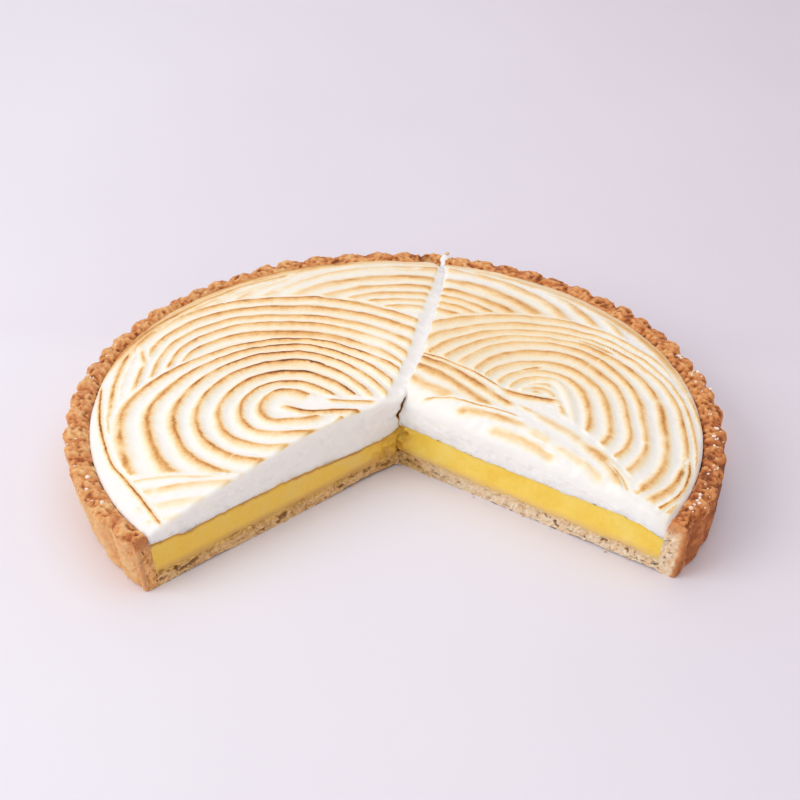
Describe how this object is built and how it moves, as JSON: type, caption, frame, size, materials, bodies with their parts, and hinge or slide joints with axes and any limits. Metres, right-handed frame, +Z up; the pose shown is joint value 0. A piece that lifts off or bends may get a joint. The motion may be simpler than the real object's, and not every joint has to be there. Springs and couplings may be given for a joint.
{
  "type": "lemon meringue tart",
  "caption": "Round fluted shortcrust tart filled with lemon curd under combed, browned meringue, with a front wedge taken out and one cut through the back.",
  "frame": {"origin": "middle of the whole tart on its flat underside, just left of the back cut", "axes": "+Z up through the layers, +Y from the missing wedge towards the back of the tart, +X to the right slice"},
  "size_m": [0.2749, 0.2319, 0.0386],
  "materials": {
    "shortcrust": "dry, sandy baked pastry, browned on the outside and pale where cut",
    "lemon_curd": "smooth, moist, slightly see-through set curd",
    "meringue": "soft white foam, torched golden to brown along its ridges"
  },
  "bodies": {
    "root": {"crust_left": "shortcrust", "crust_right": "shortcrust", "curd_left": "lemon_curd", "curd_right": "lemon_curd", "meringue_left": "meringue", "meringue_right": "meringue"}
  },
  "joints": []
}
